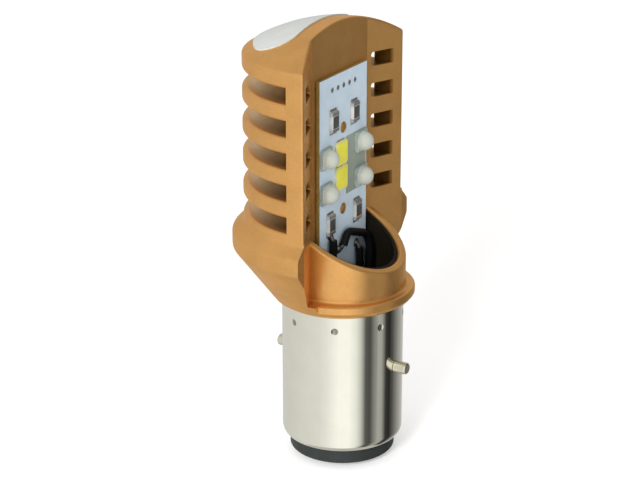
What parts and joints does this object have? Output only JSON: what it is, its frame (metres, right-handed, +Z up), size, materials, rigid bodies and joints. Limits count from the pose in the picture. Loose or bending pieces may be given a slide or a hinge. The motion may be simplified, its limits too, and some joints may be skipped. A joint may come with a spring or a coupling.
{
  "type": "motorcycle led headlight bulb",
  "caption": "One-sided LED headlight bulb: half-round finned casting with a light board in its trough, a slanting tube below it and a nickel bayonet base with side pins and end contacts.",
  "frame": {"origin": "on the bulb's axis, in the plane of the two bayonet pins", "axes": "+Z up the axis to the domed top, -Y the way the light board faces and the front pin points"},
  "size_m": [0.036, 0.0303, 0.0736],
  "materials": {
    "gold_casting": "satin",
    "label_stock": "satin",
    "board_mask": "satin",
    "pad_rubber": "matte",
    "led_ceramic": "matte",
    "led_silicone": "gloss",
    "phosphor": "satin",
    "resistor_body": "satin",
    "lead_insulation": "satin",
    "liner_plastic": "matte",
    "driver_laminate": "satin",
    "driver_epoxy": "matte",
    "driver_ferrite": "matte",
    "driver_can": "satin",
    "nickel_plate": "polished",
    "pin_metal": "polished",
    "insulator_black": "satin",
    "contact_solder": "satin"
  },
  "bodies": {
    "root": {"heat_sink": "gold_casting", "top_label": "label_stock", "led_board": "board_mask", "thermal_pad": "pad_rubber", "led_base_1": "led_ceramic", "led_base_2": "led_ceramic", "led_base_3": "led_ceramic", "led_base_4": "led_ceramic", "led_lens_1": "led_silicone", "led_lens_2": "led_silicone", "led_lens_3": "led_silicone", "led_lens_4": "led_silicone", "yellow_led_upper": "phosphor", "yellow_led_lower": "phosphor", "resistor_upper_left": "resistor_body", "resistor_upper_right": "resistor_body", "resistor_lower_left": "resistor_body", "resistor_lower_right": "resistor_body", "lead_common": "lead_insulation", "lead_high": "lead_insulation", "lead_low": "lead_insulation", "contact_lead_left": "lead_insulation", "contact_lead_right": "lead_insulation", "ground_lead": "lead_insulation", "liner_sleeve": "liner_plastic", "driver_board": "driver_laminate", "driver_chip": "driver_epoxy", "driver_diode": "driver_epoxy", "driver_inductor": "driver_ferrite", "driver_capacitor": "driver_can", "base_shell": "nickel_plate", "bayonet_pin_front": "pin_metal", "bayonet_pin_back": "pin_metal", "insulator_disc": "insulator_black", "contact_left": "contact_solder", "contact_right": "contact_solder"}
  },
  "joints": []
}
